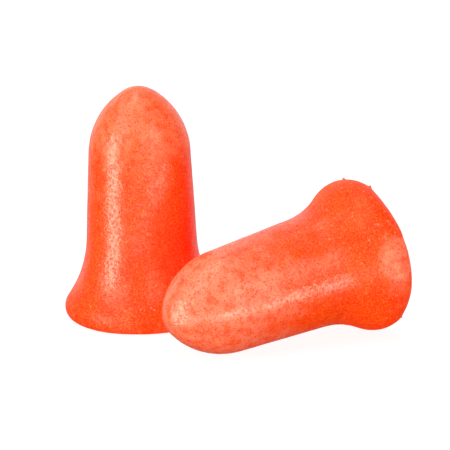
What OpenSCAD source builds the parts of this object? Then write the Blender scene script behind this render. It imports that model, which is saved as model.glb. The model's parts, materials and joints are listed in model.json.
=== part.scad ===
// A pair of bell-shaped foam ear plugs at rest on a table.
// One stands on its base face, and the other lies on its side in front of it.
// Each plug is one moulding of self-skinned foam, round about its own axis.
// Its outline is a chain of arcs that meet tangentially: tip, ogive, straight body,
// hollow waist, lip and heel, and then the flat base face.

/* [Plug body] */
// Length of a plug, from the base face to the tip
plug_len = 24.5; // [22:0.5:27]
// Radius of the blunt tip
tip_r = 2.9; // [2:0.1:3.5]
// Radius of the ogive that joins the tip to the body
ogive_r = 7.9; // [7:0.1:9]
// Radius of the body at its front end, where the ogive meets it
shoulder_r = 5.25; // [4.7:0.05:5.6]
// Taper of the body, which widens towards the flare, in degrees
body_taper = 2.8; // [1.5:0.1:4]

/* [Flare of the standing plug] */
// Radius at the widest ring of the flare
standing_flare_r = 8.1; // [7.6:0.05:8.6]
// Height of the widest ring above the base face
standing_flare_z = 1.5; // [1.5:0.1:2.4]
// How far the edge of the base face steps in from the widest ring
standing_heel_in = 1.45; // [0.4:0.05:1.5]
// Rounding of the lip above the widest ring
standing_lip_r = 1.6; // [1.2:0.1:3.6]
// Radius of the hollow waist between the lip and the body
standing_waist_r = 11.8; // [7:0.1:13]

/* [Flare of the lying plug] */
// Radius at the widest ring of the flare
lying_flare_r = 7.9; // [7.6:0.05:8.6]
// Height of the widest ring above the base face
lying_flare_z = 1.6; // [1.5:0.1:2.4]
// How far the edge of the base face steps in from the widest ring
lying_heel_in = 0.65; // [0.4:0.05:1.5]
// Rounding of the lip above the widest ring
lying_lip_r = 3.2; // [1.2:0.1:3.6]
// Radius of the hollow waist between the lip and the body
lying_waist_r = 8.8; // [7:0.1:13]

/* [Resting place of the lying plug] */
// X of the centre of its base face, measured from the standing plug's axis
lying_x = 23.7; // [23:0.1:30]
// Y of the centre of its base face, measured from the standing plug's axis
lying_y = -5.5; // [-9:0.1:-4]
// Heading of its axis from base to tip, anticlockwise from +X, in degrees
lying_heading = 209; // [206:0.5:214]

/* [Hidden] */
$fn = 96;
foam_orange = [1.0, 0.40, 0.24];
// How many radii away the far corners of a slice's triangle are: enough to clear the arc
reach = 3;

// A flare is [widest radius, its height, step in to the base, lip radius, waist radius].
standing_flare = [standing_flare_r, standing_flare_z, standing_heel_in, standing_lip_r, standing_waist_r];
lying_flare = [lying_flare_r, lying_flare_z, lying_heel_in, lying_lip_r, lying_waist_r];

function polar(radius, angle) = radius * [cos(angle), sin(angle)];

// The front end, the same on both plugs. The ogive is tangent to the body line and to the tip.
tip_centre = [0, plug_len - tip_r];
ogive_x = shoulder_r - ogive_r * cos(body_taper);
ogive_centre = tip_centre + [ogive_x, -sqrt(pow(ogive_r - tip_r, 2) - pow(ogive_x, 2))];
shoulder = ogive_centre + polar(ogive_r, body_taper);
// Angle of the outline's normal where the tip passes into the ogive
tip_angle = atan2(tip_centre.y - ogive_centre.y, tip_centre.x - ogive_centre.x);
tip_end = tip_centre + polar(tip_r, tip_angle);

function lip_centre(flare) = [flare[0] - flare[3], flare[1]];

// Centre of the waist arc. It runs down beside the body line, one waist radius away from it,
// and stops where the arc touches the lip's arc.
function waist_centre(flare) =
    let (
        start = shoulder + polar(flare[4], body_taper),
        down = [sin(body_taper), -cos(body_taper)],
        from_lip = start - lip_centre(flare),
        closing = -from_lip * down,
        touching = pow(flare[3] + flare[4], 2),
        travel = closing - sqrt(pow(closing, 2) - from_lip * from_lip + touching)
    )
    start + travel * down;

// The heel arc goes from the widest ring, where it is upright, down to the base face's edge.
function heel_r(flare) = (pow(flare[1], 2) + pow(flare[2], 2)) / (2 * flare[2]);
function heel_centre(flare) = [flare[0] - heel_r(flare), flare[1]];

// A pie slice of a disc, between two angles
module slice(centre, radius, from, to) {
    intersection() {
        translate(centre) circle(r = radius);
        polygon([
            centre,
            centre + polar(reach * radius, from),
            centre + polar(reach * radius, to)
        ]);
    }
}

// The half outline of a plug, with its axis along +Y
module outline(flare) {
    lip = lip_centre(flare);
    waist = waist_centre(flare);
    heel = heel_centre(flare);
    lip_angle = atan2(waist.y - lip.y, waist.x - lip.x);
    heel_angle = -asin(flare[1] / heel_r(flare));
    difference() {
        union() {
            polygon([
                [0, 0],
                [flare[0] - flare[2], 0],
                [flare[0], flare[1]],
                lip + polar(flare[3], lip_angle),
                waist - polar(flare[4], body_taper),
                shoulder,
                tip_end,
                [0, plug_len]
            ]);
            slice(heel, heel_r(flare), heel_angle, 0);
            slice(lip, flare[3], 0, lip_angle);
            slice(ogive_centre, ogive_r, body_taper, tip_angle);
            slice(tip_centre, tip_r, tip_angle, 90);
        }
        translate(waist) circle(r = flare[4]);
        translate([-plug_len, 0]) square(plug_len);
    }
}

module plug(flare) {
    color(foam_orange) rotate_extrude() outline(flare);
}

// A lying plug rests on its lip and on its ogive, so the floor is the line that touches both arcs.
// floor_tilt is how far its tip points down, and floor_height is how high its base's centre is.
function floor_tilt(flare) =
    let (between = ogive_centre - lip_centre(flare))
    atan2(between.y, between.x) - acos((flare[3] - ogive_r) / norm(between));
function floor_height(flare) = lip_centre(flare) * polar(1, floor_tilt(flare)) + flare[3];

module standing_plug() {
    plug(standing_flare);
}

module lying_plug() {
    translate([lying_x, lying_y, floor_height(lying_flare)])
        rotate([0, 90 + floor_tilt(lying_flare), lying_heading])
            plug(lying_flare);
}

standing_plug();
lying_plug();
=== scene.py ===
# %% [markdown]
# # A pair of moulded foam ear plugs
#
# Each plug is one casting of soft polyurethane foam. The liquid foam swells inside a smooth mould,
# and where it meets the mould wall it forms its own thin, slightly glossy skin.
# The design comes ready made, as plain solids of the right size in the right place.
# This script makes the finished-looking plugs over those solids, then the studio around them.
# Everything is in metres, in the design's own frame: Z is up, and the camera looks along +Y.

# %% The design as a fixed frame
import json
import math

import bpy
import numpy as np
from mathutils import Matrix, Vector


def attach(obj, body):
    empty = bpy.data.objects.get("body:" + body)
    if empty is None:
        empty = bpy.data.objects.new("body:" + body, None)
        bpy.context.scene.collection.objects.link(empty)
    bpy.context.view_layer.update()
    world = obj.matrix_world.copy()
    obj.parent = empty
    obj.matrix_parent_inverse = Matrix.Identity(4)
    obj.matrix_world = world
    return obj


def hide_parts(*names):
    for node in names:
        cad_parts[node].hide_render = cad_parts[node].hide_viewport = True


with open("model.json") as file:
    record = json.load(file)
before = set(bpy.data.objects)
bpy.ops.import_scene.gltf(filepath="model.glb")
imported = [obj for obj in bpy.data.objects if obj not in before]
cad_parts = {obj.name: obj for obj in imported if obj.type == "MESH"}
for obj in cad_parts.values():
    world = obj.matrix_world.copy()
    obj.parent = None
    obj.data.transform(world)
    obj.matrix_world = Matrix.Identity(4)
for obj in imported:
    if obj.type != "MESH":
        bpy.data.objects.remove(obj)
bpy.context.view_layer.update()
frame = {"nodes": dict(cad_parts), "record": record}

MM = 0.001
mounts = {mount["name"]: mount for mount in frame["record"]["mounts"]}
print("nodes:", ", ".join(sorted(frame["nodes"])))

# %% [markdown]
# ## Where each plug is
#
# The record gives each plug's base face as a mount: a point at its centre and the way it faces.
# The plug points the other way. From those two we build a matrix that takes a plug
# standing at the origin to its real place. Its local X stays on the side that faces up,
# so a "clock angle" round the plug can be read the same way on both.

# %% A plug's own axes
def placement(mount_name):
    """The matrix that carries a plug from the origin, standing on its base, to its place."""
    mount = mounts[mount_name]
    base = Vector(mount["pos_m"])
    axis = -Vector(mount["axis"]).normalized()
    upright = Vector((0, 0, 1)) if axis.z < 0.9 else Vector((1, 0, 0))
    up = (upright - upright.dot(axis) * axis).normalized()
    side = axis.cross(up)
    turn = Matrix((up, side, axis)).transposed()
    return Matrix.Translation(base) @ turn.to_4x4()


STANDING = placement("standing_base")
LYING = placement("lying_base")
for name, place in (("standing", STANDING), ("lying", LYING)):
    tip_drop = math.degrees(math.asin(-place.col[2].z))
    base_mm = [round(c / MM, 2) for c in place.translation]
    print(f"{name} plug: base at {base_mm} mm, tip {tip_drop:.1f} deg down")

# %% [markdown]
# ## The outline, measured on the design
#
# Both plugs are round about their axes, so one line from the base's edge to the tip holds the
# whole shape. We could type in the arcs again, but then the two could drift apart.
# Instead we read the outline off the design's mesh: every vertex gives a height along the axis
# and a radius, and sorting them by height gives the line.

# %% Reading an outline
def outline_of(node, place):
    """Heights and radii of a plug's outline, from the edge of its base face to its tip."""
    vertices = frame["nodes"][node].data.vertices
    points = np.array([place.inverted() @ v.co for v in vertices])
    height = points[:, 2]
    radius = np.hypot(points[:, 0], points[:, 1])
    rings = {}
    for z, r in zip(np.round(height, 6), radius):
        rings[z] = max(r, rings.get(z, 0.0))
    heights = np.array(sorted(rings))
    return heights, np.array([rings[z] for z in heights])


def even_steps(heights, radii, step):
    """The same outline as points about one step apart along it."""
    along = np.r_[0, np.cumsum(np.hypot(np.diff(heights), np.diff(radii)))]
    marks = np.linspace(0, along[-1], round(along[-1] / step) + 1)
    return np.interp(marks, along, heights), np.interp(marks, along, radii)


outlines = {}
for node, place in (("standing_plug", STANDING), ("lying_plug", LYING)):
    outlines[node] = outline_of(node, place)
    heights, radii = outlines[node]
    print(f"{node}: {len(heights)} rings, base {radii[0] / MM:.2f} mm, widest {radii.max() / MM:.2f} mm")

# %% [markdown]
# ## Turning the outline into a mesh
#
# A plug could be a Screw modifier on a curve, or a lathe made with Spin. Here it is built the way
# a potter pulls up a wall: a ring of points is extruded a little way up and scaled to
# the outline's next radius, again and again. The rings are close together and even, which
# leaves a clean grid of nearly square faces for the dents and grain that come later.
# The base face grows from its centre in the same way, and the tip closes in a single point.

# %% Pulling up a plug
SIDES = 160
RING_STEP = 0.3 * MM


def select_only(thing):
    bpy.ops.object.select_all(action="DESELECT")
    thing.select_set(True)
    bpy.context.view_layer.objects.active = thing


def pull_up(name, node):
    """A closed plug that stands at the origin, made by extruding and scaling rings."""
    rim_heights, rim_radii = even_steps(*outlines[node], RING_STEP)
    base_rings = round(rim_radii[0] / RING_STEP)
    base_radii = np.linspace(0, rim_radii[0], base_rings + 1)[1:-1]
    ring_radii = np.r_[base_radii, rim_radii[:-1]]
    ring_heights = np.r_[np.zeros(len(base_radii)), rim_heights[:-1]]
    bpy.ops.object.select_all(action="DESELECT")
    bpy.ops.mesh.primitive_circle_add(vertices=SIDES, radius=ring_radii[0], fill_type="TRIFAN")
    plug = bpy.context.object
    plug.name = name
    bpy.ops.object.mode_set(mode="EDIT")
    bpy.ops.mesh.select_mode(type="EDGE")
    bpy.ops.mesh.select_all(action="DESELECT")
    bpy.ops.mesh.select_non_manifold()
    for i in range(1, len(ring_radii)):
        rise = ring_heights[i] - ring_heights[i - 1]
        growth = ring_radii[i] / ring_radii[i - 1]
        bpy.ops.mesh.extrude_region_move(TRANSFORM_OT_translate={"value": (0, 0, rise)})
        bpy.ops.transform.resize(value=(growth, growth, 1), center_override=(0, 0, ring_heights[i]))
    bpy.ops.mesh.extrude_region_move(
        TRANSFORM_OT_translate={"value": (0, 0, rim_heights[-1] - rim_heights[-2])}
    )
    bpy.ops.mesh.merge(type="CENTER")
    bpy.ops.mesh.select_all(action="SELECT")
    bpy.ops.mesh.normals_make_consistent(inside=False)
    bpy.ops.object.mode_set(mode="OBJECT")
    print(f"{name}: {len(ring_radii)} rings of {SIDES} points")
    return plug


standing = pull_up("standing_foam_plug", "standing_plug")
lying = pull_up("lying_foam_plug", "lying_plug")

# %% [markdown]
# ## Finer faces, and each plug in its place
#
# One level of Subdivision Surface quarters every face and rounds off the facets.
# It is applied straight away, because the dents need real vertices to move.
# Then each plug is carried to its place and the move is applied too, so that
# the object itself stays at the origin and only its mesh lies where the plug is.

# %% Subdividing and placing
def apply_modifier(thing, kind, **settings):
    select_only(thing)
    modifier = thing.modifiers.new(kind.title(), kind)
    for key, value in settings.items():
        setattr(modifier, key, value)
    bpy.ops.object.modifier_apply(modifier=modifier.name)


def put_in_place(thing, place):
    thing.matrix_world = place
    select_only(thing)
    bpy.ops.object.transform_apply(location=True, rotation=True, scale=True)


for plug, place in ((standing, STANDING), (lying, LYING)):
    apply_modifier(plug, "SUBSURF", levels=1, render_levels=1)
    put_in_place(plug, place)
    print(f"{plug.name}: {len(plug.data.polygons)} faces")

# %% [markdown]
# ## The unevenness of soft foam
#
# A real plug is never quite round. It shrinks a little unevenly as it cures, it has been squeezed
# by fingers, and its skin has a faint orange peel. Displace modifiers with cloud textures do
# this well: one with wide, shallow swells for the shape, and one with small ripples for
# the skin. Both read the plug's own coordinates, and as the plugs lie in different places,
# each gets different dents from the same clouds.

# %% Swells and ripples
def displace(thing, title, feature, height, depth):
    """Moves the surface in and out by up to half of height, in lumps about as wide as feature.

    The clouds carry depth layers of ever finer lumps.
    """
    clouds = bpy.data.textures.new(title, "CLOUDS")
    clouds.noise_scale = feature
    clouds.noise_depth = depth
    apply_modifier(thing, "DISPLACE", texture=clouds, texture_coords="LOCAL", strength=height, mid_level=0.5)


SWELL_WIDTH, SWELL_HEIGHT = 5.0 * MM, 0.05 * MM
RIPPLE_WIDTH, RIPPLE_HEIGHT = 0.9 * MM, 0.035 * MM
for plug in (standing, lying):
    displace(plug, "swells", SWELL_WIDTH, SWELL_HEIGHT, 1)
    displace(plug, "ripples", RIPPLE_WIDTH, RIPPLE_HEIGHT, 2)
print(f"swells of {SWELL_HEIGHT / MM} mm and ripples of {RIPPLE_HEIGHT / MM} mm")

# %% [markdown]
# ## The ragged edge of the base
#
# The mould is open at the base, so the foam is trimmed there. The trimmed edge isn't a true
# circle: it has short flats and bends, and a few nibs of flash stand out where
# the knife or the mould's lip left them. An edge like this is easier to write
# as numbers than to push by hand, so the vertices near the edge are moved by a rule:
# so much in or out at each clock angle, fading away from the edge.

# %% Points in a plug's own axes
def get_points(thing):
    points = np.empty(len(thing.data.vertices) * 3)
    thing.data.vertices.foreach_get("co", points)
    return points.reshape(-1, 3)


def set_points(thing, points):
    thing.data.vertices.foreach_set("co", points.ravel())
    thing.data.update()


def into_axes(points, place):
    turn = np.array(place.to_3x3())
    return (points - np.array(place.translation)) @ turn


def out_of_axes(points, place):
    turn = np.array(place.to_3x3())
    return points @ turn.T + np.array(place.translation)


# %% Trimming the edge
EDGE_FADE = 0.9 * MM
# Each pair is a clock angle in degrees, and how far the trimmed edge stands out there in mm
LYING_TRIM = [
    (0, 0.0), (180, 0.04), (205, -0.10), (213, 0.06), (222, -0.12),
    (238, -0.10), (256, 0.02), (284, 0.05), (291, -0.04), (298, 0.02),
    (312, -0.14), (325, -0.24), (337, -0.16), (348, 0.03), (360, 0.0),
]
STANDING_TRIM = [
    (0, 0.0), (35, -0.10), (60, 0.03), (120, -0.06), (150, 0.05), (205, -0.08),
    (240, 0.04), (262, -0.03), (300, 0.05), (330, -0.05), (360, 0.0),
]


def trim_edge(thing, place, node, trim):
    local = into_axes(get_points(thing), place)
    clock = np.degrees(np.arctan2(local[:, 1], local[:, 0])) % 360
    radius = np.hypot(local[:, 0], local[:, 1])
    edge_radius = outlines[node][1][0]
    distance = np.hypot(radius - edge_radius, local[:, 2])
    angles, amounts = np.array(trim).T
    push = np.interp(clock, angles, amounts) * MM * np.exp(-((distance / EDGE_FADE) ** 2))
    local[:, :2] *= (1 + push / np.maximum(radius, MM))[:, None]
    set_points(thing, out_of_axes(local, place))


trim_edge(standing, STANDING, "standing_plug", STANDING_TRIM)
trim_edge(lying, LYING, "lying_plug", LYING_TRIM)
print("trimmed the base edges by up to", max(abs(a) for _, a in LYING_TRIM), "mm")

# %% [markdown]
# ## Nibs of flash
#
# Each nib is a speck of foam about a quarter of a millimetre high. Two stand on the lying
# plug's base edge, one near its widest ring, and one low on the standing plug. The grid is too
# coarse for that, so the faces around each nib are subdivided first, and
# then the vertices there are drawn out into a small blunt spike.

# %% Drawing out the nibs
NIB_ROOM = 0.7 * MM
NIB_CUTS = 2


def draw_nib(thing, place, clock, radius, height, reach, width):
    """A spike at a clock angle, radius and height on the plug. It is reach long and width in radius."""
    angle = math.radians(clock)
    outward = Vector((math.cos(angle), math.sin(angle), 0))
    spot = place @ (outward * radius + Vector((0, 0, height)))
    nearest = int(np.argmin(np.linalg.norm(get_points(thing) - np.array(spot), axis=1)))
    spot = thing.data.vertices[nearest].co.copy()
    select_only(thing)
    bpy.ops.object.mode_set(mode="EDIT")
    bpy.ops.mesh.select_mode(type="FACE")
    bpy.ops.mesh.select_all(action="DESELECT")
    bpy.ops.object.mode_set(mode="OBJECT")
    for face in thing.data.polygons:
        face.select = (face.center - spot).length < NIB_ROOM
    bpy.ops.object.mode_set(mode="EDIT")
    bpy.ops.mesh.subdivide(number_cuts=NIB_CUTS)
    bpy.ops.object.mode_set(mode="OBJECT")
    points = get_points(thing)
    distance = np.linalg.norm(points - np.array(spot), axis=1)
    lift = np.exp(-((distance / width) ** 2)) * reach
    points += lift[:, None] * np.array(place.to_3x3() @ outward)
    set_points(thing, points)


lying_edge = outlines["lying_plug"][1][0]
lying_widest = outlines["lying_plug"][1].max()
standing_edge = outlines["standing_plug"][1][0]
NIBS = (
    (lying, LYING, 347.5, lying_edge, 0.0, 0.30, 0.16),
    (lying, LYING, 210.5, lying_edge, 0.0, 0.32, 0.17),
    (lying, LYING, 18, lying_widest, 0.7, 0.26, 0.15),
    (standing, STANDING, 128, standing_edge, 0.2, 0.22, 0.16),
)
for plug, place, clock, radius, height_mm, reach_mm, width_mm in NIBS:
    draw_nib(plug, place, clock, radius, height_mm * MM, reach_mm * MM, width_mm * MM)
print("drew", len(NIBS), "nibs")

# %% [markdown]
# ## Resting on the table
#
# The dents may have pushed some of the surface below the table. Soft foam would simply flatten
# there, so every vertex below the table is raised to it. Then the shading is
# smoothed, except across the sharp edge of the base.

# %% Flattening what rests
SHARP_EDGE = math.radians(40)
for plug in (standing, lying):
    points = get_points(plug)
    sunk = int((points[:, 2] < 0).sum())
    points[:, 2] = np.maximum(points[:, 2], 0)
    set_points(plug, points)
    select_only(plug)
    bpy.ops.object.shade_smooth_by_angle(angle=SHARP_EDGE)
    print(f"{plug.name}: {sunk} points flattened against the table")

# %% [markdown]
# ## Small tools for materials
#
# Colours are written as the hex codes that a paint program shows, and one function turns them
# into the linear values that the renderer works with. One more function adds a node,
# sets it up and links it. A pattern's scale is worked out from its real size in millimetres.

# %% Colour, scale and node tools
def linear(hex_code):
    """The linear colour of an sRGB hex code such as #FF8040."""
    channels = [int(hex_code[i:i + 2], 16) / 255 for i in (1, 3, 5)]
    return [c / 12.92 if c <= 0.04045 else ((c + 0.055) / 1.055) ** 2.4 for c in channels] + [1.0]


def scale_for(size_mm):
    """The Scale of a noise or Voronoi node whose lumps are about size_mm wide."""
    return 1 / (size_mm * MM)


def add_node(tree, kind, inputs=None, **settings):
    """Adds a node, sets its properties, and fills each input with a value or a link."""
    node = tree.nodes.new(kind)
    for key, value in settings.items():
        setattr(node, key, value)
    for key, value in (inputs or {}).items():
        if isinstance(value, bpy.types.NodeSocket):
            tree.links.new(value, node.inputs[key])
        else:
            node.inputs[key].default_value = value
    return node


print("orange in linear values:", [round(c, 3) for c in linear("#FA6A34")])

# %% [markdown]
# ## Self-skinned polyurethane foam
#
# Slow-recovery polyurethane foam is cast in a mould and dyed with a fluorescent orange pigment.
# To the eye it is a soft, slightly translucent body under a thin skin with a satin gloss.
# - Light sinks in a little and comes out redder: subsurface scattering, longest for red.
# - The pigment turns blue and green light into orange. A weak, constant red emission, a painted
#   glow that shines even where no light falls, keeps the foam bright red in shade.
# - The skin shows cloudy patches a few millimetres wide, a mottled grain where foam cells lie
#   just under it, pin pores where bubbles burst, and pale specks where it is thin.
# - The domes have bloomed paler and each flare has a scuffed, pale patch. These paler parts also hold
#   painted light: on the domes and heels, and as a painted highlight on the lying plug's patch.
# - A thin coat gives the soft reflections of the lights. On the flare the skin is duller, and the
#   coat is weak there.
#
# Real foam cells and pores are under 0.1 mm, too fine to see from here. The grain and the
# pores are drawn two to three times coarser than that, so that they still show.

# %% Patterns in the skin
CLOUD_MM, MOTTLE_MM, PEEL_MM, GRAIN_MM, PORE_MM, SPECK_MM = 3.5, 0.9, 0.32, 0.17, 0.26, 0.7


def skin_patterns(tree, place):
    """The plug's own coordinates, with Z from its base to its tip, and three noises laid out in them."""
    where = add_node(tree, "ShaderNodeTexCoord").outputs["Object"]
    own = add_node(tree, "ShaderNodeMapping", {
        "Vector": where,
        "Location": place.translation,
        "Rotation": place.to_euler(),
    }, vector_type="TEXTURE").outputs["Vector"]
    clouds = add_node(tree, "ShaderNodeTexNoise", {
        "Vector": own, "Scale": scale_for(CLOUD_MM), "Detail": 4, "Roughness": 0.6, "Distortion": 0.5,
    }).outputs["Fac"]
    mottle = add_node(tree, "ShaderNodeTexNoise", {
        "Vector": own, "Scale": scale_for(MOTTLE_MM), "Detail": 5, "Roughness": 0.65,
    }).outputs["Fac"]
    grain = add_node(tree, "ShaderNodeTexNoise", {
        "Vector": own, "Scale": scale_for(GRAIN_MM), "Detail": 3, "Roughness": 0.7,
    }).outputs["Fac"]
    return own, clouds, mottle, grain


def plug_zones(tree, own, clouds, length, bloom_and_light_start):
    """Height along the plug, then how much a place is of the dome, flare and heel, with cloudy borders."""
    along = add_node(tree, "ShaderNodeSeparateXYZ", {"Vector": own}).outputs["Z"]
    wander = add_node(tree, "ShaderNodeMapRange", {
        "Value": clouds, "From Min": 0.3, "From Max": 0.7, "To Min": -0.16 * length, "To Max": 0.16 * length,
    }).outputs["Result"]
    wandering = add_node(tree, "ShaderNodeMath", {0: along, 1: wander}, operation="ADD").outputs["Value"]
    dome = add_node(tree, "ShaderNodeMapRange", {
        "Value": wandering, "From Min": bloom_and_light_start * length, "From Max": (bloom_and_light_start + 0.25) * length,
    }).outputs["Result"]
    flare = add_node(tree, "ShaderNodeMapRange", {
        "Value": wandering, "From Min": 0.35 * length, "From Max": 0.05 * length,
    }).outputs["Result"]
    heel = add_node(tree, "ShaderNodeMapRange", {
        "Value": wandering, "From Min": 0.08 * length, "From Max": 0.0, "To Max": 0.3,
    }).outputs["Result"]
    return along, dome, flare, heel


def skin_dots(tree, own, size_mm, dice_colour, chance, edge, core, most):
    """A mask of small dots in a share of the cells, each fading from its edge in to its core."""
    cells = add_node(tree, "ShaderNodeTexVoronoi", {"Vector": own, "Scale": scale_for(size_mm)})
    dice = add_node(tree, "ShaderNodeSeparateColor", {"Color": cells.outputs["Color"]})
    chosen = add_node(tree, "ShaderNodeMath", {
        0: dice.outputs[dice_colour], 1: chance,
    }, operation="LESS_THAN").outputs["Value"]
    dot = add_node(tree, "ShaderNodeMapRange", {
        "Value": cells.outputs["Distance"], "From Min": edge, "From Max": core, "To Max": most,
    }).outputs["Result"]
    return add_node(tree, "ShaderNodeMath", {0: chosen, 1: dot}, operation="MULTIPLY").outputs["Value"]


print("grain of", GRAIN_MM, "mm and pores", PORE_MM, "mm apart")

# %% [markdown]
# ### The colour of the foam
#
# The dye is deepest on the flare, deep on the body, and paler on the dome, at the heel and on the
# scuffed patch: partly bloomed skin and wear, partly painted light. Mottling, grain, pores and specks go on
# top.

# %% Dye, bloom and grain
def dyed_colour(tree, skin, zones, bloom_and_painted_light, scuff_and_highlight):
    """The dyed foam with mottling and grain, paler in patches: partly a dusty, pale skin and partly painted
    light.
    """
    own, clouds, mottle, grain = skin
    dome, flare, heel = zones
    body_dye = add_node(tree, "ShaderNodeMix", {
        "Factor": clouds, "A": linear("#F75802"), "B": linear("#F76810"),
    }, data_type="RGBA").outputs["Result"]
    flare_share = add_node(tree, "ShaderNodeMath", {0: flare, 1: 0.7}, operation="MULTIPLY").outputs["Value"]
    deep = add_node(tree, "ShaderNodeMix", {
        "Factor": flare_share, "A": body_dye, "B": linear("#F04802"),
    }, data_type="RGBA").outputs["Result"]

    # The bloomed paleness and the painted light come in patches
    patches = add_node(tree, "ShaderNodeMapRange", {
        "Value": mottle, "From Min": 0.4, "From Max": 0.53, "To Min": 0.3,
    }).outputs["Result"]
    ends = add_node(tree, "ShaderNodeMath", {0: dome, 1: heel}, operation="MAXIMUM").outputs["Value"]
    # The paler patch round this centre is real wear and, on the lying plug, also a painted highlight.
    to_scuff_and_highlight = add_node(tree, "ShaderNodeVectorMath", {
        0: own, 1: scuff_and_highlight,
    }, operation="DISTANCE").outputs["Value"]
    scuffed_and_highlit = add_node(tree, "ShaderNodeMapRange", {
        "Value": to_scuff_and_highlight, "From Min": 2.6 * MM, "From Max": 1.7 * MM, "To Max": 1.2,
    }).outputs["Result"]
    pale = add_node(tree, "ShaderNodeMath", {0: ends, 1: scuffed_and_highlit}, operation="MAXIMUM").outputs["Value"]
    # The paler colour is partly bloomed skin and partly painted light on the dome and heel.
    bloom_and_light_share = add_node(tree, "ShaderNodeMath", {
        0: pale, 1: patches,
    }, operation="MULTIPLY").outputs["Value"]
    bloomed_and_lit = add_node(tree, "ShaderNodeMix", {
        "Factor": bloom_and_light_share, "A": deep, "B": linear(bloom_and_painted_light),
    }, data_type="RGBA").outputs["Result"]

    # Mottling, then dark and pale grain
    mottle_share = add_node(tree, "ShaderNodeMapRange", {
        "Value": mottle, "From Min": 0.45, "From Max": 0.68, "To Max": 0.25,
    }).outputs["Result"]
    mottled = add_node(tree, "ShaderNodeMix", {
        "Factor": mottle_share, "A": bloomed_and_lit, "B": linear("#FB7C3C"),
    }, data_type="RGBA").outputs["Result"]
    dark_grain = add_node(tree, "ShaderNodeMapRange", {
        "Value": grain, "From Min": 0.5, "From Max": 0.37, "To Max": 0.8,
    }).outputs["Result"]
    pale_grain = add_node(tree, "ShaderNodeMapRange", {
        "Value": grain, "From Min": 0.5, "From Max": 0.64, "To Max": 0.85,
    }).outputs["Result"]
    darkened = add_node(tree, "ShaderNodeMix", {
        "Factor": dark_grain, "A": mottled, "B": linear("#983402"),
    }, data_type="RGBA").outputs["Result"]
    return add_node(tree, "ShaderNodeMix", {
        "Factor": pale_grain, "A": darkened, "B": linear("#FF9034"),
    }, data_type="RGBA").outputs["Result"]


def pored_colour(tree, own, zones, grained):
    """The grained colour with dark pores, most on the dome, and pale specks, most on the flare."""
    dome, flare = zones[:2]
    pore_chance = add_node(tree, "ShaderNodeMapRange", {
        "Value": dome, "To Min": 0.12, "To Max": 0.45,
    }).outputs["Result"]
    speck_chance = add_node(tree, "ShaderNodeMapRange", {
        "Value": flare, "To Min": 0.12, "To Max": 0.6,
    }).outputs["Result"]
    pores = skin_dots(tree, own, PORE_MM, "Red", pore_chance, edge=0.45, core=0.2, most=0.5)
    specks = skin_dots(tree, own, SPECK_MM, "Green", speck_chance, edge=0.24, core=0.1, most=0.8)
    pored = add_node(tree, "ShaderNodeMix", {
        "Factor": pores, "A": grained, "B": linear("#983604"),
    }, data_type="RGBA").outputs["Result"]
    speckled = add_node(tree, "ShaderNodeMix", {
        "Factor": specks, "A": pored, "B": linear("#FFA878"),
    }, data_type="RGBA").outputs["Result"]
    return speckled, pores


print("bloom, grain, pores and specks ready")

# %% [markdown]
# ### The feel of the skin
#
# Mottling and grain stand out a little and pores are sunk in. Both the foam and its coat take this
# relief, which breaks the reflections up into grains. The coat is also patchy at the size of an
# orange peel, and weak on the flare.

# %% Relief and shine
def skin_relief(tree, mottle, grain, pores):
    """The bumps of the skin, as one normal."""
    swollen = add_node(tree, "ShaderNodeBump", {
        "Strength": 0.8, "Distance": 0.07 * MM, "Height": mottle,
    }).outputs["Normal"]
    grainy = add_node(tree, "ShaderNodeBump", {
        "Strength": 0.5, "Distance": 0.03 * MM, "Height": grain, "Normal": swollen,
    }).outputs["Normal"]
    return add_node(tree, "ShaderNodeBump", {
        "Strength": 0.8, "Distance": 0.05 * MM, "Height": pores, "Normal": grainy,
    }, invert=True).outputs["Normal"]


def coat_share(tree, own, along, shine_start):
    """How strong the glossy coat is, weaker below shine_start and in the hollows of the peel."""
    peel = add_node(tree, "ShaderNodeTexNoise", {
        "Vector": own, "Scale": scale_for(PEEL_MM), "Detail": 2, "Roughness": 0.5,
    }).outputs["Fac"]
    peel_shine = add_node(tree, "ShaderNodeMapRange", {
        "Value": peel, "From Min": 0.4, "From Max": 0.56, "To Min": 0.35, "To Max": 1.0,
    }).outputs["Result"]
    body_shine = add_node(tree, "ShaderNodeMapRange", {
        "Value": along, "From Min": shine_start, "From Max": shine_start + 1.8 * MM,
        "To Min": 0.2, "To Max": 1.0,
    }).outputs["Result"]
    return add_node(tree, "ShaderNodeMath", {
        0: peel_shine, 1: body_shine,
    }, operation="MULTIPLY").outputs["Value"]


print("relief and shine ready")

# %% [markdown]
# ### The whole foam
#
# The coat's IOR is set above the 1.5 of plain polyurethane, matched to how strongly the skin
# mirrors a light head-on. The two plugs are paler in their own ways, partly bloomed skin and partly painted
# light, so each has its own look.

# %% The foam material
# A constant red glow, painted light: the foam shines red even where no light reaches it.
PAINTED_RED_GLOW = 0.6


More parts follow.
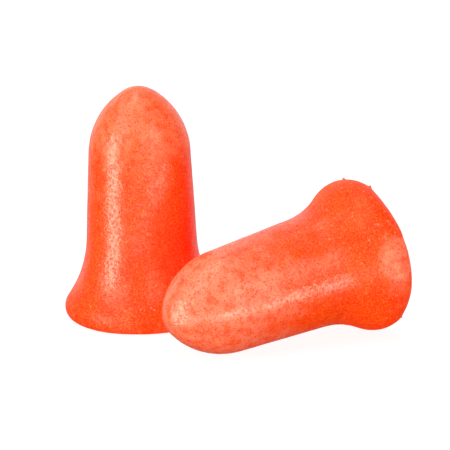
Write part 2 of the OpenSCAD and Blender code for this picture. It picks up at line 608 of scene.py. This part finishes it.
def moulded_foam(name, place, length, look):
    """The foam for one plug. Its look: the pale colour, partly dusty skin and partly painted light, and
    where it starts; the shine's start; and the centre of the worn patch, which on the lying plug is also a
    painted highlight.
    """
    bloom_and_painted_light, bloom_and_light_start, shine_start, scuff_and_highlight = look
    material = bpy.data.materials.new(name)
    material.use_nodes = True
    tree = material.node_tree
    tree.nodes.clear()

    skin = skin_patterns(tree, place)
    own, clouds, mottle, grain = skin
    along, *zones = plug_zones(tree, own, clouds, length, bloom_and_light_start)
    grained = dyed_colour(tree, skin, zones, bloom_and_painted_light, scuff_and_highlight)
    colour, pores = pored_colour(tree, own, zones, grained)
    relief = skin_relief(tree, mottle, grain, pores)
    dullness = add_node(tree, "ShaderNodeMapRange", {
        "Value": mottle, "From Min": 0.3, "From Max": 0.7, "To Min": 0.45, "To Max": 0.6,
    }).outputs["Result"]

    foam = add_node(tree, "ShaderNodeBsdfPrincipled", {
        "Base Color": colour,
        "Roughness": dullness,
        "IOR": 1.45,
        "Specular IOR Level": 0.2,
        "Normal": relief,
        "Subsurface Weight": 0.2,
        "Subsurface Radius": (1.0, 0.25, 0.08),
        "Subsurface Scale": 0.5 * MM,
        "Coat Weight": coat_share(tree, own, along, shine_start),
        "Coat Roughness": 0.18,
        "Coat IOR": 1.9,
        "Coat Normal": relief,
        # Painted glow: a constant red emission keeps the foam bright red in shade.
        "Emission Color": linear("#FF0A00"),
        "Emission Strength": PAINTED_RED_GLOW,
    })
    add_node(tree, "ShaderNodeOutputMaterial", {"Surface": foam.outputs["BSDF"]})
    return material


# Centres of the worn patches; on the lying plug the patch is also a painted highlight.
STANDING_PALE_PATCH = Vector((6.5, -3.0, 1.2)) * MM
LYING_SCUFF_AND_HIGHLIGHT = Vector((1.2, -7.6, 1.2)) * MM
# Each look's pale colour is partly bloomed skin and partly painted light on the dome and heel.
for plug, node, place, look in (
    (standing, "standing_plug", STANDING, ("#FCAC78", 0.6, 2.5 * MM, STANDING_PALE_PATCH)),
    (lying, "lying_plug", LYING, ("#FDBC94", 0.42, 5.6 * MM, LYING_SCUFF_AND_HIGHLIGHT)),
):
    length = outlines[node][0][-1]
    foam = moulded_foam(f"self_skinned_polyurethane_foam_{node}", place, length, look)
    plug.data.materials.clear()
    plug.data.materials.append(foam)
    print(plug.name, "wears", foam.name)

# %% [markdown]
# ## Joining the plugs to the design
#
# Each finished plug stands for one solid of the design and moves with that solid's body.

# %% Riding on the bodies
for plug, body, node, slot in (
    (standing, "standing", "standing_plug", "standing_foam"),
    (lying, "lying", "lying_plug", "lying_foam"),
):
    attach(plug, body)
    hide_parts(node)
    print(plug.name, "rides on", body)

# %% [markdown]
# ## The camera
#
# A long lens from a short way off, looking slightly down, keeps the plugs' sides nearly parallel.
# The camera leans by about a degree, as a hand-held or tilted camera does.

# %% Placing the camera
CAMERA_AIM = Vector((8.63, 0, 9.70)) * MM
CAMERA_DISTANCE = 400 * MM
CAMERA_ELEVATION = math.radians(13.65)
CAMERA_LEAN = math.radians(-1.13)
CAMERA_LENS = 309.9

to_camera = Vector((0, -math.cos(CAMERA_ELEVATION), math.sin(CAMERA_ELEVATION)))
bpy.ops.object.camera_add(location=CAMERA_AIM + to_camera * CAMERA_DISTANCE)
camera = bpy.context.object
level = (-to_camera).to_track_quat("-Z", "Y").to_matrix()
camera.rotation_euler = (level @ Matrix.Rotation(CAMERA_LEAN, 3, "Z")).to_euler()
camera.data.lens = CAMERA_LENS
camera.data.clip_start = 10 * MM
camera.data.clip_end = 10
bpy.context.scene.camera = camera
print("camera at", [round(c / MM) for c in camera.location], "mm")

# %% [markdown]
# ## The table
#
# A sheet of white card, lit until it is almost as bright as the backdrop, so that the plugs
# seem to stand in plain white space with only a breath of shadow under them.
# Most of its brightness is its own, which keeps the orange from tinting it. The plugs
# neither mirror it nor are lit by it: low lights do that job.

# %% A white table
bpy.ops.object.select_all(action="DESELECT")
TABLE_SIZE = 2
bpy.ops.mesh.primitive_plane_add(size=TABLE_SIZE, location=(0, 0, 0))
table = bpy.context.object
table.name = "table"
white_card = bpy.data.materials.new("matt_white_card")
white_card.use_nodes = True
card = white_card.node_tree.nodes["Principled BSDF"]
card.inputs["Base Color"].default_value = linear("#8A8A88")
card.inputs["Roughness"].default_value = 0.9
card.inputs["Specular IOR Level"].default_value = 0.0
card.inputs["Emission Color"].default_value = (1, 1, 1, 1)
card.inputs["Emission Strength"].default_value = 0.92
table.data.materials.append(white_card)
table.visible_glossy = False
table.visible_diffuse = False
table.visible_shadow = False
print("table covered in", white_card.name)

# %% [markdown]
# ## Soft light
#
# A product studio puts large softboxes round its subject. Soft foam needs two things from them:
# a gentle shading that falls off to the right and under the plugs, and long pale
# reflections in the skin. It is easier to get both right apart, so some lights here only
# shade (they aren't mirrored) and some are only mirrored. A weak one behind the plugs keeps
# their backs from going dark. A light's brightness is that of its face, seen from
# the plugs, and its power follows from its size.

# %% Softboxes
PLUG_MIDDLE = Vector((12, -8, 10)) * MM
STUDIO_RADIUS = 0.5
SOFTBOX_WHITE = (1.0, 0.97, 0.92)
MIRRORED_WHITE = (1.0, 1.0, 0.8)


def light_panel(name, location, turn, wide, high, brightness):
    bpy.ops.object.light_add(type="AREA", location=location, rotation=turn)
    panel = bpy.context.object
    panel.name = name
    panel.data.shape = "RECTANGLE"
    panel.data.size = wide
    panel.data.size_y = high
    panel.data.energy = brightness * math.pi * wide * high
    panel.visible_camera = False
    return panel


def softbox(name, azimuths, elevations, brightness, shades=True, roll=0.0):
    """A light that fills a window of directions, seen from the plugs. Azimuth 0 is the camera's side.

    It either shades the plugs or is mirrored in them, never both.
    """
    azimuth, elevation = math.radians(sum(azimuths) / 2), math.radians(sum(elevations) / 2)
    half_wide = math.radians(azimuths[1] - azimuths[0]) / 2
    half_high = math.radians(elevations[1] - elevations[0]) / 2
    away = Vector((
        math.sin(azimuth) * math.cos(elevation),
        -math.cos(azimuth) * math.cos(elevation),
        math.sin(elevation),
    ))
    facing = (-away).to_track_quat("-Z", "Y").to_matrix()
    turn = (facing @ Matrix.Rotation(math.radians(roll), 3, "Z")).to_euler()
    wide = 2 * STUDIO_RADIUS * math.tan(half_wide) * math.cos(elevation)
    high = 2 * STUDIO_RADIUS * math.tan(half_high)
    light = light_panel(name, PLUG_MIDDLE + away * STUDIO_RADIUS, turn, wide, high, brightness)
    light.data.color = SOFTBOX_WHITE if shades else MIRRORED_WHITE
    light.visible_diffuse = shades
    light.visible_glossy = not shades


softbox("left_shading", (-88, -20), (-35, 60), 1.35)
softbox("right_shading", (0, 60), (-45, 15), 1.4)
softbox("overhead_shading", (-60, 60), (60, 110), 2.8)
softbox("back_shading", (125, 235), (20, 65), 0.8)
softbox("left_upper_reflection", (-75, -30), (20, 64), 1.15, shades=False)
softbox("left_top_reflection", (-167, -57), (66, 82), 1.8, shades=False, roll=-19)
softbox("left_lower_reflection", (-75, -50), (-30, 22), 4.4, shades=False, roll=14)
softbox("right_reflection", (8, 56), (12, 46), 1.5, shades=False)
softbox("overhead_reflection", (-40, 60), (60, 92), 0.55, shades=False)
print("softboxes ready")

# %% [markdown]
# The table in front of the plugs is brightly lit too, except in the shadow close to them.
# The plug that lies down mirrors that: a long streak low on its flank, and a pale
# band round its dome that ends where the shadow begins. Two low panels stand for
# the lit parts of the table, one on the right and one before the dome.

# %% Lit parts of the table
PATCH_HEIGHT = 0.3


def lit_patch(name, x, y, turn_degrees, wide, deep, brightness):
    """A panel just above the table that shines upwards and only shows in reflections. Sizes in mm."""
    location = Vector((x, y, PATCH_HEIGHT)) * MM
    turn = (math.pi, 0, math.radians(turn_degrees))
    patch = light_panel(name, location, turn, wide * MM, deep * MM, brightness)
    patch.data.color = MIRRORED_WHITE
    patch.visible_diffuse = False


lit_patch("lit_table_right", 45, -42, turn_degrees=40, wide=56, deep=50, brightness=3.4)
lit_patch("lit_table_front", 3, -45, turn_degrees=8, wide=36, deep=32, brightness=2.0)
print("two lit patches")

# %% [markdown]
# ## The backdrop
#
# What the camera sees behind the table is plain white. The plugs mirror it too, at a grazing
# angle, which gives them their thin pale rims. As a source of shading it is kept weak,
# and the side towards the camera is the dark of the room.

# %% A white backdrop
world = bpy.data.worlds.new("white_backdrop")
world.use_nodes = True
bpy.context.scene.world = world
sky = world.node_tree
sky.nodes.clear()
direction = add_node(sky, "ShaderNodeTexCoord").outputs["Generated"]
apart = add_node(sky, "ShaderNodeSeparateXYZ", {"Vector": direction})
behind = add_node(sky, "ShaderNodeMapRange", {
    "Value": apart.outputs["Y"], "From Min": 0.5, "From Max": 0.8, "To Min": 0.02, "To Max": 0.65,
}).outputs["Result"]
above = add_node(sky, "ShaderNodeMapRange", {
    "Value": apart.outputs["Z"], "From Min": -0.5, "From Max": 0.0, "To Min": 0.1, "To Max": 1.0,
}).outputs["Result"]
mirrored = add_node(sky, "ShaderNodeMath", {0: behind, 1: above}, operation="MULTIPLY").outputs["Value"]
path = add_node(sky, "ShaderNodeLightPath")
shading = add_node(sky, "ShaderNodeMix", {
    "Factor": path.outputs["Is Diffuse Ray"], "A": mirrored, "B": 0.06,
}, data_type="FLOAT").outputs["Result"]
strength = add_node(sky, "ShaderNodeMix", {
    "Factor": path.outputs["Is Camera Ray"], "A": shading, "B": 1.0,
}, data_type="FLOAT").outputs["Result"]
backdrop = add_node(sky, "ShaderNodeBackground", {"Color": (1, 1, 1, 1), "Strength": strength})
add_node(sky, "ShaderNodeOutputWorld", {"Surface": backdrop.outputs["Background"]})
bpy.context.scene.view_settings.view_transform = "Standard"
print("backdrop ready")
